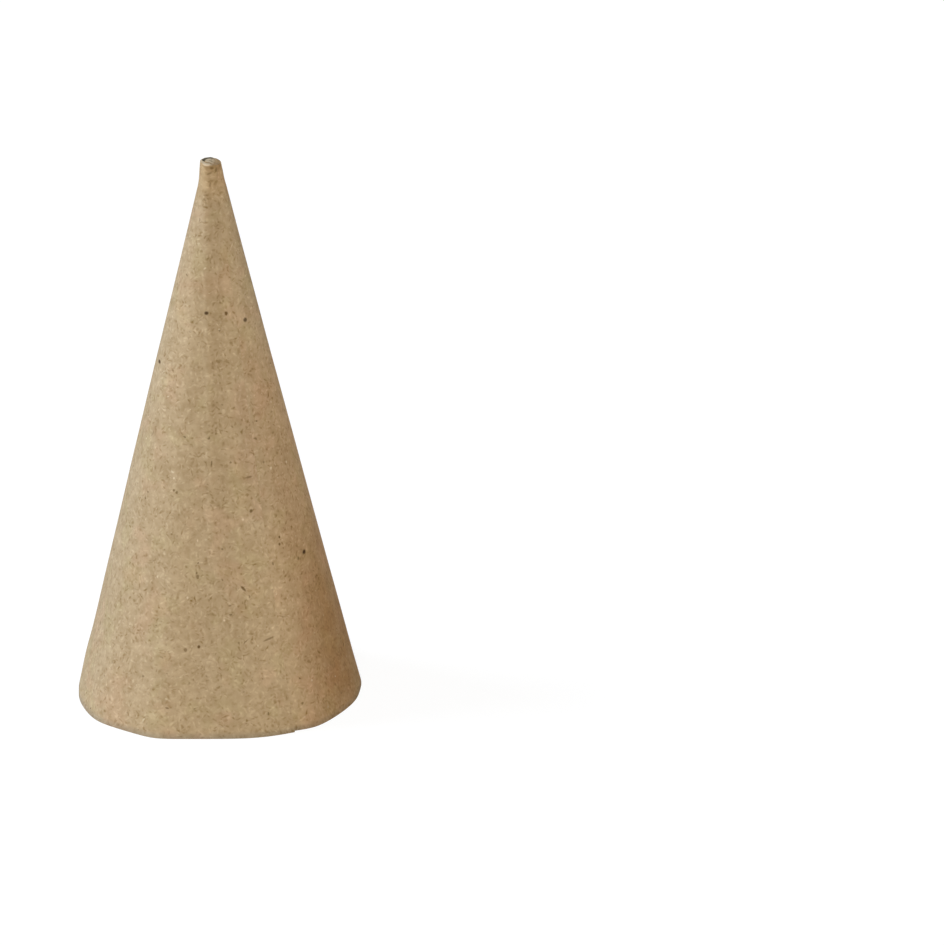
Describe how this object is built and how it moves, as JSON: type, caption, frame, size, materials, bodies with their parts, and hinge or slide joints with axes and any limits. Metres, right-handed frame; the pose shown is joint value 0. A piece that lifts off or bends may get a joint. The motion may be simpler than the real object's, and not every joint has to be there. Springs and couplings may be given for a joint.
{
  "type": "paper cornet",
  "caption": "Pointed paper cornet wound from brown recycled board, with a lap along its side, a rolled blunt tip and an open flat-rimmed mouth to stand on or fill.",
  "frame": {"origin": "middle of the mouth, in the plane of its rim, which the cornet stands on", "axes": "+Z from the mouth to the tip, -Y towards the front, where the lap's loose edge is just right of the middle"},
  "size_m": [0.0596, 0.0601, 0.1153],
  "materials": {
    "brown_board": "matt, fibrous and flecked, uncoated"
  },
  "bodies": {
    "root": {"cornet": "brown_board"}
  },
  "joints": []
}
